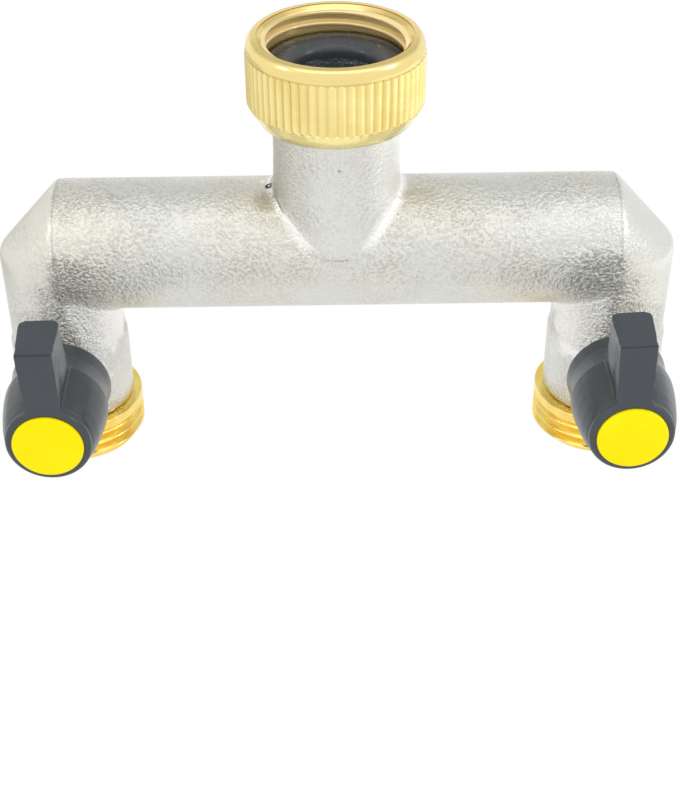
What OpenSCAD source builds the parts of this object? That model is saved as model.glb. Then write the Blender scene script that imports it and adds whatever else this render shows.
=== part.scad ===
// Two-way garden hose splitter: a plated brass manifold with a swivel inlet nut and two
// quarter-turn ball valves. Millimetres. The origin is the centre of the inlet at the outer
// end of its thread, +Z out of the inlet, +X along the bar, and the knobs face -Y.

/* [Casting] */
// Outside diameter of the cross bar
bar_d = 25.7; // [24.6:0.1:30]
// Bore of the cross bar
bar_bore_d = 17; // [12:0.5:19]
// Distance between the axes of the two outlets
outlet_spacing = 110.4; // [90:0.1:140]
// How far short of each outlet's axis the round part of the bar ends
bar_inset = 0.6; // [0.2:0.1:1.2]
// Height of the bevel on each outer corner, from the top of the bar down
corner_drop = 13.1; // [12:0.05:14]
// Outside diameter of the neck
neck_d = 24; // [22:0.1:24.2]
// Bore of the neck
neck_bore_d = 16; // [12:0.5:17]
// Height of the neck's end above the axis of the bar
neck_h = 35; // [32:0.1:50]
// Depth of each ball's centre below the axis of the bar
valve_drop = 23.5; // [22.5:0.1:32]
// Wall of the casting around each outlet nipple's thread
sleeve_wall = 2.3; // [1.8:0.05:3]
// Step from the rough leg out to the machined sleeve below it
leg_step = 0.45; // [0.1:0.05:0.8]
// Height of the sleeve's top above the ball's centre
sleeve_rise = 3; // [1:0.1:6]
// Height of the sleeve's end below the ball's centre
sleeve_drop = 12.2; // [11.5:0.1:16]
// Diameter of the boss that each stem comes out of
boss_d = 12.6; // [12:0.1:13]

/* [Hose thread] */
// Outside diameter of the hose thread
hose_thread_d = 27; // [26:0.05:28]
// Pitch of the hose thread
thread_pitch = 2.209; // [2:0.001:2.4]
// Radial play between the male and the female hose thread
thread_play = 0.12; // [0.05:0.01:0.2]
// Number of thread crests inside the nut
nut_crests = 2; // [2:1:4]
// Number of thread crests on each outlet
outlet_crests = 3; // [2:1:5]
// Height of the full land above the first groove of each outlet
outlet_land = 1.95; // [0.5:0.05:2.5]
// Bore of each outlet's end
outlet_bore_d = 18.4; // [16:0.1:20]

/* [Inlet nut] */
// Wall of the nut from its inner hollow to the knurl's ribs
nut_wall = 3; // [2.2:0.05:4]
// Number of ribs in the knurl
knurl_ribs = 60; // [48:1:72]
// Depth of the grooves between the ribs
knurl_depth = 0.45; // [0.2:0.05:0.6]
// Height of the plain collar above the knurl
collar_h = 2.7; // [2:0.1:4]
// Height of the knurl
knurl_h = 9.3; // [7:0.05:9.5]
// Wall of the nut around the neck, at the nut's bottom end
lip_wall = 2.1; // [1.5:0.05:2.6]
// Height of the inner lip that bears on the retaining ring
lip_h = 3.9; // [3:0.1:4.2]
// Width of the bevel around the nut's rim
rim_bevel = 0.8; // [0.3:0.05:1.2]
// Height of the rim above the top crest
mouth_h = 1.6; // [1:0.1:2.4]
// Thickness of the inlet washer
washer_t = 3; // [2.5:0.1:3.5]
// Outside diameter of the inlet washer
washer_d = 25.8; // [25.2:0.1:26.4]
// Hole in the inlet washer
washer_hole_d = 15.6; // [12:0.1:18]
// Wire diameter of the ring that holds the nut on the neck
ring_wire_d = 1.6; // [1.2:0.1:1.8]
// Distance of that ring's centre below the end of the neck
ring_below = 2.8; // [2:0.1:4]
// Angle that the ring's gap leaves open
ring_gap_angle = 14; // [8:1:30]

/* [Valve] */
// Diameter of each ball
ball_d = 15.8; // [15.2:0.1:17]
// Port through each ball
port_d = 10; // [8:0.1:10.6]
// Diameter at which a seat's cupped face starts
seat_mouth_d = 13.8; // [13:0.1:14.4]
// Height of a seat ring
seat_h = 4.2; // [3.8:0.1:4.8]
// Wall of the nipple's cup around the lower seat
cup_wall = 1.5; // [1.3:0.05:2]
// Diameter of each stem
stem_d = 7; // [6.6:0.1:7.4]
// Side of the square on each stem's end
stem_square = 4.8; // [4.4:0.1:4.9]
// Thickness of the tang that turns the ball
tang_t = 2.4; // [2:0.1:3]
// Depth of the tang in the ball
tang_depth = 2; // [1.5:0.05:2.1]
// Diameter of the shoulder that keeps the stem in
shoulder_d = 9.2; // [8.8:0.1:9.6]
// Height of that shoulder
shoulder_h = 1.4; // [1:0.1:1.8]
// Thickness of the washer above the shoulder
thrust_t = 0.6; // [0.4:0.1:1]
// Section of the stem's O-rings
stem_ring_section = 1.16; // [1:0.02:1.3]
// Distance between the stem's two O-rings
stem_ring_step = 3; // [2.5:0.1:3.2]
// Section of the nipple's O-ring
nipple_ring_section = 1.5; // [1.3:0.05:1.6]
// Size across flats of the key hole inside each nipple
key_af = 12; // [11.5:0.1:12.6]

/* [Knob] */
// Gap between a knob and the leg behind it
knob_gap = 2.5; // [1.5:0.1:4]
// Length of a knob
knob_len = 20.1; // [18:0.1:24]
// Diameter of the knob's rear edge
knob_rear_d = 19.6; // [19:0.1:21]
// Diameter of the waist
knob_waist_d = 18.8; // [18.2:0.1:19.4]
// Distance of the waist from the rear edge
knob_waist_at = 3.6; // [2:0.1:5]
// Diameter of the shoulder where the knob is widest
knob_shoulder_d = 20.1; // [19.6:0.1:22]
// Distance of that shoulder from the rear edge
knob_shoulder_at = 7.6; // [6.5:0.1:9]
// Diameter of the knob's front edge
knob_front_d = 16.6; // [16:0.1:18]
// Width of the fin
fin_w = 7.4; // [6:0.1:9]
// Reach of the fin's rear top edge from the knob's axis
fin_reach = 21.4; // [18:0.1:23]
// How much lower the fin's front top edge is
fin_fall = 2; // [0.5:0.1:4]
// Distance of the fin's rear face from the knob's rear edge
fin_rear_at = 10.3; // [9.5:0.1:12]
// Length of the fin's top
fin_top_len = 7.9; // [5:0.1:8]
// Depth of the hollow in the knob's rear
knob_hollow = 5.5; // [5:0.1:6.5]
// Wall of the knob around that hollow
knob_wall = 1.4; // [1.2:0.05:1.8]
// Thickness of the web that the stem's square goes through
knob_web = 5; // [4:0.1:6]
// Diameter of the yellow cap's face
cap_d = 13.5; // [12.6:0.1:13.8]
// How far the cap's face stands out of the knob's front
cap_proud = 0.7; // [0.3:0.1:1.2]
// Thickness of the cap's face
cap_t = 1.3; // [1:0.1:1.6]
// Diameter of the cap's skirt
cap_skirt_d = 11.8; // [11.4:0.1:12]
// Length of the cap's skirt
cap_skirt_len = 4; // [3:0.1:4.5]
// Angle that the valve turns through
turn_angle = 90; // [80:1:100]
// Angular width of the stop key inside the knob
key_angle = 30; // [20:1:40]
// Diameter of the screw's head
screw_head_d = 6.8; // [6.4:0.1:7.4]
// Diameter of the screw's shank
screw_d = 3.1; // [2.8:0.1:3.2]
// Length of the screw's shank below the washer
screw_len = 7.5; // [6:0.1:8]
// Thickness of the screw's washer
screw_washer_t = 0.8; // [0.5:0.1:1]

/* [Clearances] */
// Radial play of a turning fit
turning_fit = 0.05; // [0.02:0.01:0.08]
// Radial play of parts that are screwed or pushed together
assembly_fit = 0.05; // [0.02:0.01:0.08]
// Radial play of the nut's lip on the neck
nut_play = 0.1; // [0.05:0.01:0.1]
// Gap around the washer and the retaining ring inside the nut
nut_gap = 0.5; // [0.3:0.05:0.8]
// Height of the gap between the retaining ring and the nut's lip
ring_gap = 0.15; // [0.1:0.01:0.3]
// Gap around the ball in its chamber
ball_gap = 0.4; // [0.3:0.05:0.6]
// Gap between a ball and its seats
seat_gap = 0.1; // [0.05:0.01:0.15]
// Gap between end faces that turn past each other
face_gap = 0.4; // [0.3:0.05:0.6]
// Angular play of the stop
stop_play = 1.5; // [1:0.5:3]

/* [Hidden] */
$fn = 96;
HULL_FN = 32;
EPS = 0.05;
LEFT = -1;
RIGHT = 1;

NICKEL = [0.78, 0.77, 0.73];
BRASS = [0.86, 0.70, 0.32];
CHARCOAL = [0.20, 0.22, 0.24];
YELLOW = [1.00, 0.88, 0.05];
RUBBER = [0.08, 0.08, 0.09];
PTFE = [0.93, 0.93, 0.90];
STEEL = [0.62, 0.63, 0.65];
CHROME = [0.80, 0.81, 0.83];

// hose thread, a 60 degree form
thread_flank = tan(30);
crest_flat = thread_pitch / 8;
male_depth = 0.65 * thread_pitch;
male_r = hose_thread_d / 2;
male_root_r = male_r - male_depth;
female_depth = 0.62 * thread_pitch;
female_root_r = male_r + thread_play;
female_r = female_root_r - female_depth;
female_flat = thread_pitch / 6;
female_run = female_depth * thread_flank;

// heights along the inlet, measured from the origin
thread_run = (nut_crests - 1) * thread_pitch + female_flat;
thread_bottom_z = -thread_run - female_run;
washer_top_z = thread_bottom_z - 0.1;
neck_end_z = washer_top_z - washer_t;
bar_z = neck_end_z - neck_h;
ring_z = neck_end_z - ring_below;
lip_top_z = ring_z - ring_wire_d / 2 - ring_gap;
nut_bottom_z = lip_top_z - lip_h;
nut_top_z = mouth_h;
collar_bottom_z = nut_top_z - collar_h;
knurl_bottom_z = collar_bottom_z - knurl_h;

// radii of the nut
ring_r = neck_d / 2 + 0.1;
lip_r = neck_d / 2 + nut_play;
nut_hollow_r = max(female_root_r + 0.08, washer_d / 2 + nut_gap, ring_r + ring_wire_d / 2 + nut_gap);
nut_r = nut_hollow_r + nut_wall;
nut_groove_r = nut_r - knurl_depth;

// casting
bar_r = bar_d / 2;
outlet_x = outlet_spacing / 2;
valve_z = bar_z - valve_drop;
leg_top_z = bar_z + bar_r - corner_drop;
sleeve_end_z = valve_z - sleeve_drop;

// valve, measured from the ball's centre
ball_r = ball_d / 2;
seat_r = ball_r + 0.1;
seat_bore_r = port_d / 2 + 0.5;
seat_face_r = ball_r + seat_gap;
seat_front = sqrt(pow(seat_face_r, 2) - pow(seat_mouth_d / 2, 2));
seat_back = seat_front + seat_h;
chamber_r = ball_r + ball_gap;
cup_r = seat_r + assembly_fit + cup_wall;
nipple_hole_r = cup_r + assembly_fit;
cup_rise = max(seat_front, shoulder_d / 2) + 0.3;
sleeve_r = nipple_hole_r + sleeve_wall;
leg_r = sleeve_r - leg_step;
nipple_ring_hole_r = nipple_hole_r + 0.3;
nipple_groove_r = nipple_ring_hole_r - nipple_ring_section - 0.05;
nipple_groove_h = nipple_ring_section + 0.2;
nipple_pilot_h = 0.7;
key_depth = 4;

// stem, measured forward from the ball's centre
tang_tip = ball_r - tang_depth;
shoulder_back = ball_r + 0.25;
shoulder_front = shoulder_back + shoulder_h;
thrust_front = shoulder_front + thrust_t;
spotface_at = thrust_front + turning_fit;
stem_hole_r = stem_d / 2 + turning_fit;
stem_ring_r = stem_d / 2 - stem_ring_section / 2;
stem_groove_r = stem_d / 2 - stem_ring_section;
stem_groove_w = stem_ring_section + 0.24;
first_ring_at = spotface_at + 1.2 + stem_groove_w / 2;

// knob, measured forward from the ball's centre
knob_rear = sleeve_r + knob_gap;
knob_front = knob_rear + knob_len;
web_rear = knob_rear + knob_hollow;
web_front = web_rear + knob_web;
boss_front = web_rear - face_gap;
boss_r = boss_d / 2;
hollow_r = knob_waist_d / 2 - knob_wall;
key_inner_r = boss_r + 0.4;
rib_outer_r = hollow_r - 0.3;
rib_rear = knob_rear + 0.7;
rib_front = boss_front - 1;
KEY_REST_ANGLE = 225;
rib_angle = 360 - turn_angle - key_angle - 2 * stop_play;
recess_r = cap_d / 2 + assembly_fit;
cap_bed = knob_front + cap_proud - cap_t;
cap_front = knob_front + cap_proud;
cap_bore_r = cap_skirt_d / 2 + assembly_fit;
square_front = web_front - 0.5;
screw_hole_r = screw_d / 2 + assembly_fit;
screw_under = web_front + screw_washer_t;
screw_head_h = 2.2;

// Puts what is drawn up the Z axis at one ball's centre, upright.
module at_ball(side) {
    translate([side * outlet_x, 0, valve_z]) children();
}

// Puts what is drawn up the Z axis onto one stem's axis, pointing forward, with +Y up.
module on_stem(side) {
    at_ball(side) rotate([90, 0, 0]) children();
}

module ring(outer_r, inner_r, from, to) {
    translate([0, 0, from])
        difference() {
            cylinder(r = outer_r, h = to - from);
            translate([0, 0, -1]) cylinder(r = inner_r, h = to - from + 2);
        }
}

// A ring's sector from one angle to another.
module sector(outer_r, inner_r, from, to, start, sweep) {
    translate([0, 0, from])
        rotate([0, 0, start])
            rotate_extrude(angle = sweep)
                translate([inner_r, 0]) square([outer_r - inner_r, to - from]);
}

module o_ring(center_r, section) {
    rotate_extrude() translate([center_r, 0]) circle(d = section);
}

// The bevelled outer corner, from the end of the bar to the top of the leg.
module corner(side) {
    hull($fn = HULL_FN) {
        translate([side * (outlet_x - bar_inset - 1 + EPS), 0, bar_z])
            rotate([0, side * 90, 0]) cylinder(r = bar_r - EPS, h = 1, $fn = HULL_FN);
        translate([side * outlet_x, 0, leg_top_z - 1 + EPS])
            cylinder(r = leg_r - EPS, h = 1, $fn = HULL_FN);
    }
}

module leg(side) {
    translate([side * outlet_x, 0, valve_z]) cylinder(r = leg_r, h = leg_top_z - valve_z);
    translate([side * outlet_x, 0, sleeve_end_z])
        cylinder(r = sleeve_r, h = sleeve_drop + sleeve_rise);
}

// The boss around the stem, with the raised rib that stops the knob after a quarter turn.
module stem_boss(side) {
    on_stem(side) {
        translate([0, 0, chamber_r]) cylinder(r = boss_r, h = boss_front - chamber_r);
        sector(rib_outer_r, boss_r - EPS, rib_rear, rib_front,
            KEY_REST_ANGLE + key_angle / 2 + stop_play, rib_angle);
    }
}

// Everything that is bored into one leg.
module valve_bores(side) {
    at_ball(side) {
        cylinder(r = seat_bore_r, h = valve_drop);
        cylinder(r = seat_r + assembly_fit, h = seat_back);
        translate([0, 0, -cup_rise]) cylinder(r = chamber_r, h = cup_rise + seat_front);
        translate([0, 0, -sleeve_drop - 1])
            cylinder(r = nipple_hole_r, h = sleeve_drop + 1 - cup_rise + 0.3);
        translate([0, 0, -sleeve_drop - 1])
            cylinder(r = nipple_ring_hole_r, h = 1 + nipple_pilot_h + nipple_groove_h);
    }
    on_stem(side) {
        cylinder(r = shoulder_d / 2 + 0.2, h = spotface_at);
        cylinder(r = stem_hole_r, h = boss_front + 1);
    }
}

module manifold_casting() {
    color(NICKEL)
        difference() {
            union() {
                translate([-outlet_x + bar_inset, 0, bar_z])
                    rotate([0, 90, 0]) cylinder(r = bar_r, h = outlet_spacing - 2 * bar_inset);
                translate([0, 0, bar_z]) cylinder(d = neck_d, h = neck_h);
                for (side = [LEFT, RIGHT]) {
                    corner(side);
                    leg(side);
                    stem_boss(side);
                }
            }
            translate([-outlet_x, 0, bar_z])
                rotate([0, 90, 0]) cylinder(d = bar_bore_d, h = outlet_spacing);
            translate([0, 0, bar_z]) cylinder(d = neck_bore_d, h = neck_h + 1);
            ring(neck_d, ring_r - ring_wire_d / 2 - 0.05,
                ring_z - ring_wire_d / 2 - 0.05, ring_z + ring_wire_d / 2 + 0.05);
            for (side = [LEFT, RIGHT]) valve_bores(side);
        }
}

// The ribbed band as one outline, with a rib and a groove in each step.
module knurl() {
    step = 360 / knurl_ribs;
    translate([0, 0, knurl_bottom_z])
        linear_extrude(height = knurl_h)
            polygon([
                for (i = [0 : knurl_ribs - 1], edge = [[-0.30, 0], [0.10, 0], [0.24, 1], [0.56, 1]])
                    (nut_r - edge[1] * knurl_depth) * [cos((i + edge[0]) * step), sin((i + edge[0]) * step)]
            ]);
}

// The space inside the nut: the hole in its lip, the hollow and the thread, whose crests are rings.
module nut_space() {
    rotate_extrude()
        polygon(concat(
            [[0, nut_bottom_z - 1], [lip_r, nut_bottom_z - 1], [lip_r, lip_top_z],
                [nut_hollow_r, lip_top_z], [nut_hollow_r, thread_bottom_z]],
            [for (i = [nut_crests - 1 : -1 : 0], p = [
                    [female_root_r, -female_flat - female_run], [female_r, -female_flat],
                    [female_r, 0], [female_root_r, female_run]])
                [p[0], p[1] - i * thread_pitch]],
            [[female_root_r, nut_top_z + 1], [0, nut_top_z + 1]]
        ));
}

module swivel_nut() {
    rim_r = nut_r - rim_bevel;
    collar_r = nut_r - 0.15;
    color(BRASS)
        difference() {
            union() {
                rotate_extrude()
                    polygon([
                        [0, nut_bottom_z], [lip_r + lip_wall, nut_bottom_z],
                        [nut_groove_r, knurl_bottom_z - 0.2], [nut_groove_r, collar_bottom_z - 0.1],
                        [collar_r, collar_bottom_z], [collar_r, nut_top_z - 1.6],
                        [rim_r + 0.35, nut_top_z - 0.35], [rim_r, nut_top_z], [0, nut_top_z]
                    ]);
                knurl();
            }
            nut_space();
        }
}

module nut_retaining_ring() {
    color(STEEL)
        translate([0, 0, ring_z])
            rotate([0, 0, 90 + ring_gap_angle / 2])
                rotate_extrude(angle = 360 - ring_gap_angle)
                    translate([ring_r, 0]) circle(d = ring_wire_d);
}

module inlet_washer() {
    color(RUBBER) ring(washer_d / 2, washer_hole_d / 2, neck_end_z, washer_top_z);
}

// The male hose thread below one leg, with its crests as rings, and the cup that holds the
// lower seat.
module outlet_nipple(side) {
    thread_top = -sleeve_drop;
    first_groove = thread_top - outlet_land;
    flank = male_depth * thread_flank;
    end_z = first_groove - outlet_crests * thread_pitch - flank - crest_flat;
    floor_z = -seat_back;
    groove_top = thread_top + nipple_pilot_h + nipple_groove_h;
    color(BRASS)
        at_ball(side)
            difference() {
                rotate_extrude()
                    polygon(concat(
                        [[0, -cup_rise], [cup_r, -cup_rise], [cup_r, groove_top],
                            [nipple_groove_r, groove_top],
                            [nipple_groove_r, thread_top + nipple_pilot_h],
                            [nipple_ring_hole_r - assembly_fit, thread_top + nipple_pilot_h],
                            [nipple_ring_hole_r - assembly_fit, thread_top],
                            [male_r, thread_top], [male_r, first_groove]],
                        [for (i = [0 : outlet_crests - 1], p = [
                                [male_root_r, flank], [male_root_r, thread_pitch - crest_flat - flank],
                                [male_r, thread_pitch - crest_flat], [male_r, thread_pitch]])
                            [p[0], first_groove - i * thread_pitch - p[1]]],
                        [[male_root_r, first_groove - outlet_crests * thread_pitch - flank],
                            [male_root_r, end_z], [0, end_z]]
                    ));
                translate([0, 0, floor_z]) cylinder(r = seat_r + assembly_fit, h = seat_back);
                translate([0, 0, floor_z - 3]) cylinder(r = seat_bore_r, h = 4);
                translate([0, 0, floor_z - 2 - key_depth])
                    cylinder(r = key_af / 2 / cos(30), h = key_depth, $fn = 6);
                translate([0, 0, end_z - 1])
                    cylinder(d = outlet_bore_d, h = floor_z - 2 - key_depth - end_z + 1 + EPS);
            }
}

module nipple_o_ring(side) {
    color(RUBBER)
        at_ball(side)
            translate([0, 0, -sleeve_drop + nipple_pilot_h + nipple_groove_h / 2])
                o_ring(nipple_groove_r + 0.03 + nipple_ring_section / 2, nipple_ring_section - 0.02);
}

module ball(side) {
    slot_w = tang_t + 0.2;
    color(CHROME)
        at_ball(side)
            difference() {
                sphere(r = ball_r);
                translate([0, 0, -ball_r]) cylinder(d = port_d, h = ball_d);
                translate([-ball_r, -ball_r - 1, -slot_w / 2])
                    cube([ball_d, 1 + tang_depth + 0.1, slot_w]);
            }
}

// A seat ring above its ball, with a cupped face.
module seat() {
    color(PTFE)
        difference() {
            ring(seat_r, seat_bore_r, seat_front, seat_back);
            sphere(r = seat_face_r);
        }
}

module upper_seat(side) {
    at_ball(side) seat();
}

module lower_seat(side) {
    at_ball(side) mirror([0, 0, 1]) seat();
}

module stem(side) {
    color(BRASS)
        on_stem(side)
            difference() {
                union() {
                    translate([-stem_d / 2, -tang_t / 2, tang_tip])
                        cube([stem_d, tang_t, shoulder_back - tang_tip + EPS]);
                    translate([0, 0, shoulder_back]) cylinder(d = shoulder_d, h = shoulder_h);
                    translate([0, 0, shoulder_front])
                        cylinder(d = stem_d, h = web_rear - shoulder_front);
                    translate([-stem_square / 2, -stem_square / 2, web_rear - EPS])
                        cube([stem_square, stem_square, square_front - web_rear + EPS]);
                }
                for (i = [0, 1])
                    ring(stem_d, stem_groove_r,
                        first_ring_at + i * stem_ring_step - stem_groove_w / 2,
                        first_ring_at + i * stem_ring_step + stem_groove_w / 2);
                translate([0, 0, screw_under - screw_len - 0.5])
                    cylinder(r = screw_hole_r, h = screw_len);
            }
}

module stem_thrust_washer(side) {
    color(PTFE)
        on_stem(side)
            ring(shoulder_d / 2, stem_d / 2 + assembly_fit, shoulder_front, thrust_front);
}

module stem_o_rings(side) {
    color(RUBBER)
        on_stem(side)
            for (i = [0, 1])
                translate([0, 0, first_ring_at + i * stem_ring_step])
                    o_ring(stem_ring_r + 0.02, stem_ring_section - 0.04);
}

// The fin's side view, forward along the stem and up, drawn out to the fin's width.
module fin() {
    root = knob_front_d / 2 - 0.9;
    rotate([0, -90, 0])
        linear_extrude(height = fin_w, center = true)
            polygon([
                [knob_rear + knob_shoulder_at, root],
                [knob_rear + knob_shoulder_at, knob_shoulder_d / 2 - 0.3],
                [knob_rear + fin_rear_at - 0.8, knob_shoulder_d / 2 + 2],
                [knob_rear + fin_rear_at, fin_reach],
                [knob_rear + fin_rear_at + fin_top_len, fin_reach - fin_fall],
                [knob_front - 0.1, root]
            ]);
}

module knob_barrel() {
    rotate_extrude()
        polygon([
            [0, knob_rear], [knob_rear_d / 2, knob_rear],
            [knob_waist_d / 2, knob_rear + knob_waist_at],
            [knob_shoulder_d / 2 - 0.25, knob_rear + knob_shoulder_at - 0.6],
            [knob_shoulder_d / 2, knob_rear + knob_shoulder_at],
            [knob_front_d / 2 + 0.2, knob_front - 0.6], [knob_front_d / 2 - 0.4, knob_front],
            [0, knob_front]
        ]);
}

module knob(side) {
    square_hole = stem_square + 2 * assembly_fit;
    color(CHARCOAL)
        on_stem(side) {
            difference() {
                union() {
                    knob_barrel();
                    fin();
                }
                translate([0, 0, knob_rear - 1]) cylinder(r = hollow_r, h = knob_hollow + 1);
                translate([-square_hole / 2, -square_hole / 2, knob_rear])
                    cube([square_hole, square_hole, knob_len]);
                translate([0, 0, web_front]) cylinder(r = cap_bore_r, h = knob_len);
                translate([0, 0, cap_bed]) cylinder(r = recess_r, h = cap_t + 1);
            }
            sector(hollow_r + EPS, key_inner_r, rib_rear, web_rear + EPS,
                KEY_REST_ANGLE - key_angle / 2, key_angle);
        }
}

module knob_screw_washer(side) {
    color(STEEL)
        on_stem(side)
            ring(screw_head_d / 2 + 0.6, screw_d / 2 + 0.2, web_front, screw_under);
}

// A pan head screw with a cross recess.
module knob_screw(side) {
    color(STEEL)
        on_stem(side)
            difference() {
                union() {
                    translate([0, 0, screw_under - screw_len]) cylinder(d = screw_d, h = screw_len + EPS);
                    translate([0, 0, screw_under])
                        rotate_extrude()
                            polygon([
                                [0, 0], [screw_head_d / 2, 0], [screw_head_d / 2, 1.2],
                                [screw_head_d / 2 - 0.9, screw_head_h], [0, screw_head_h]
                            ]);
                }
                for (turn = [0, 90])
                    rotate([0, 0, turn])
                        translate([-1.9, -0.45, screw_under + screw_head_h - 1.2])
                            cube([3.8, 0.9, 2]);
            }
}

module knob_cap(side) {
    color(YELLOW)
        on_stem(side) {
            translate([0, 0, cap_bed])
                rotate_extrude()
                    polygon([
                        [0, 0], [cap_d / 2, 0], [cap_d / 2, cap_t - 0.3], [cap_d / 2 - 0.4, cap_t],
                        [0, cap_t]
                    ]);
            ring(cap_skirt_d / 2, cap_skirt_d / 2 - 1, cap_bed - cap_skirt_len, cap_bed + EPS);
        }
}

manifold_casting();
swivel_nut();
nut_retaining_ring();
inlet_washer();
outlet_nipple(LEFT);  // left_outlet_nipple
nipple_o_ring(LEFT);  // left_nipple_o_ring
ball(LEFT);  // left_ball
upper_seat(LEFT);  // left_upper_seat
lower_seat(LEFT);  // left_lower_seat
stem(LEFT);  // left_stem
stem_thrust_washer(LEFT);  // left_stem_thrust_washer
stem_o_rings(LEFT);  // left_stem_o_rings
knob(LEFT);  // left_knob
knob_screw(LEFT);  // left_knob_screw
knob_screw_washer(LEFT);  // left_knob_screw_washer
knob_cap(LEFT);  // left_knob_cap
outlet_nipple(RIGHT);  // right_outlet_nipple
nipple_o_ring(RIGHT);  // right_nipple_o_ring
ball(RIGHT);  // right_ball
upper_seat(RIGHT);  // right_upper_seat
lower_seat(RIGHT);  // right_lower_seat
stem(RIGHT);  // right_stem
stem_thrust_washer(RIGHT);  // right_stem_thrust_washer
stem_o_rings(RIGHT);  // right_stem_o_rings
knob(RIGHT);  // right_knob
knob_screw(RIGHT);  // right_knob_screw
knob_screw_washer(RIGHT);  // right_knob_screw_washer
knob_cap(RIGHT);  // right_knob_cap
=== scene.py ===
from math import atan2, cos, pi, radians, sin, sqrt, tau

import bmesh
import bpy
import numpy as np
from mathutils import Matrix, Vector
from mathutils.bvhtree import BVHTree


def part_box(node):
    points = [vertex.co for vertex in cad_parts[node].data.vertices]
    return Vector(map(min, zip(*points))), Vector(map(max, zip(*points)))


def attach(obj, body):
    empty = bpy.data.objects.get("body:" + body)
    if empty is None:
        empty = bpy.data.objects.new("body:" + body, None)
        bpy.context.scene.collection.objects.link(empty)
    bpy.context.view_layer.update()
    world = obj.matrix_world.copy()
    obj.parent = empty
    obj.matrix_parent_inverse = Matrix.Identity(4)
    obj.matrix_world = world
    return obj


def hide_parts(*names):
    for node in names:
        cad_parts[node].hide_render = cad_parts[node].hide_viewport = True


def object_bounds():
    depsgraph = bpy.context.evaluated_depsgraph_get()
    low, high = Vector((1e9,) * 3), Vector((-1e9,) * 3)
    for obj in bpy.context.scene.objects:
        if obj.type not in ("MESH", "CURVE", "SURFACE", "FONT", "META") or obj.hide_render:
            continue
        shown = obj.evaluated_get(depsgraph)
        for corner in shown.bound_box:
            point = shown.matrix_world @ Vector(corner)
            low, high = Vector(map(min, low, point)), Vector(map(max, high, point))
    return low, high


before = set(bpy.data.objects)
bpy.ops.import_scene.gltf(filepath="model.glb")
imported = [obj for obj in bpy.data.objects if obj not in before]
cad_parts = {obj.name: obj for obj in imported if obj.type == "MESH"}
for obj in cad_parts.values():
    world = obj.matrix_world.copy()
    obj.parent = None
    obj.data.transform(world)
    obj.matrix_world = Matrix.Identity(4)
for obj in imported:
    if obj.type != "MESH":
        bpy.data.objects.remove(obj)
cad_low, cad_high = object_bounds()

MM = 0.001
PHOTO_W, PHOTO_H = 679, 804
POINTS = {
    "left_edge": (3.0, 256.0),
    "right_edge": (676.5, 418.0),
    "top_edge": (338.0, 1.0),
    "bottom_edge": (50.0, 477.5),
    "rim_left": (250.5, 35.0),
    "rim_right": (425.0, 33.0),
    "knurl_top": (338.0, 87.7),
    "nut_bottom": (338.0, 149.6),
    "neck_seam": (335.5, 261.5),
    "left_cap": (47.1, 446.4),
    "right_cap": (631.3, 438.2),
    "left_fin_top": (38.5, 321.5),
    "right_fin_top": (633.0, 314.5),
    "casting_pit": (269.0, 185.8),
    "scratch_start": (274.0, 188.5),
    "scratch_end": (283.5, 213.0),
    "gate_mark": (265.5, 201.5),
    "bare_nick": (262.5, 181.5),
    "stain_right": (419.0, 195.0),
    "neck_speck": (339.4, 171.5),
}

camera_place = Vector((-2.175, -257.727, 112.091)) * MM
camera_yaw = radians(0.52)
camera_pitch = radians(36.917)
camera_roll = radians(-0.516)
bpy.ops.object.camera_add(
    location=camera_place,
    rotation=(
        Matrix.Rotation(-camera_yaw, 3, "Z")
        @ Matrix.Rotation(pi / 2 - camera_pitch, 3, "X")
        @ Matrix.Rotation(camera_roll, 3, "Z")
    ).to_euler(),
)
camera = bpy.context.object
camera.data.sensor_fit = "AUTO"
camera.data.sensor_width = 36
camera.data.lens = 67.54
camera.data.clip_start = 0.01
camera.data.clip_end = 20
bpy.context.scene.camera = camera
bpy.context.view_layer.update()


def place_on(carrier, point):
    """The place and the outward direction where the photograph's ray through a point meets a piece."""
    long_side = max(PHOTO_W, PHOTO_H)
    turn = camera.matrix_world.to_3x3()
    ray = turn @ Vector((
        point[0] - PHOTO_W / 2 + camera.data.shift_x * long_side,
        PHOTO_H / 2 - point[1] + camera.data.shift_y * long_side,
        -long_side * camera.data.lens / camera.data.sensor_width,
    )).normalized()
    eye = camera.matrix_world.translation
    tree = BVHTree.FromObject(carrier, bpy.context.evaluated_depsgraph_get())
    place, normal, _, _ = tree.ray_cast(eye, ray)
    if place is None:
        corners = [v.co for v in carrier.data.vertices]
        nearest = min(corners, key=lambda co: (co - eye).cross(ray).length)
        place, normal, _, _ = tree.find_nearest(eye + ray * (nearest - eye).dot(ray))
    return place, normal


def seen_at(places):
    """The photograph's pixel at which each place shows."""
    long_side = max(PHOTO_W, PHOTO_H)
    to_eye = np.array(camera.matrix_world.inverted())
    at = np.asarray(places, float).reshape(-1, 3) @ to_eye[:3, :3].T + to_eye[:3, 3]
    scale = long_side * camera.data.lens / camera.data.sensor_width / -at[:, 2]
    return np.column_stack((
        PHOTO_W / 2 - camera.data.shift_x * long_side + at[:, 0] * scale,
        PHOTO_H / 2 + camera.data.shift_y * long_side - at[:, 1] * scale,
    ))


# ---- The studio ----------------------------------------------------------------------------
# A white sheet under the splitter in a white tent, with a long soft box over the front and a
# small one at each side. Cards that only reflections show give the metal lighter and darker bands.
def new_material(name):
    """An empty procedural material, and its node tree."""
    material = bpy.data.materials.new(name)
    material.use_nodes = True
    material.node_tree.nodes.clear()
    return material, material.node_tree


def give(socket, value):
    """Gives an input a plain value or another node's output."""
    if isinstance(value, bpy.types.NodeSocket):
        socket.id_data.links.new(value, socket)
    else:
        socket.default_value = value


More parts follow.
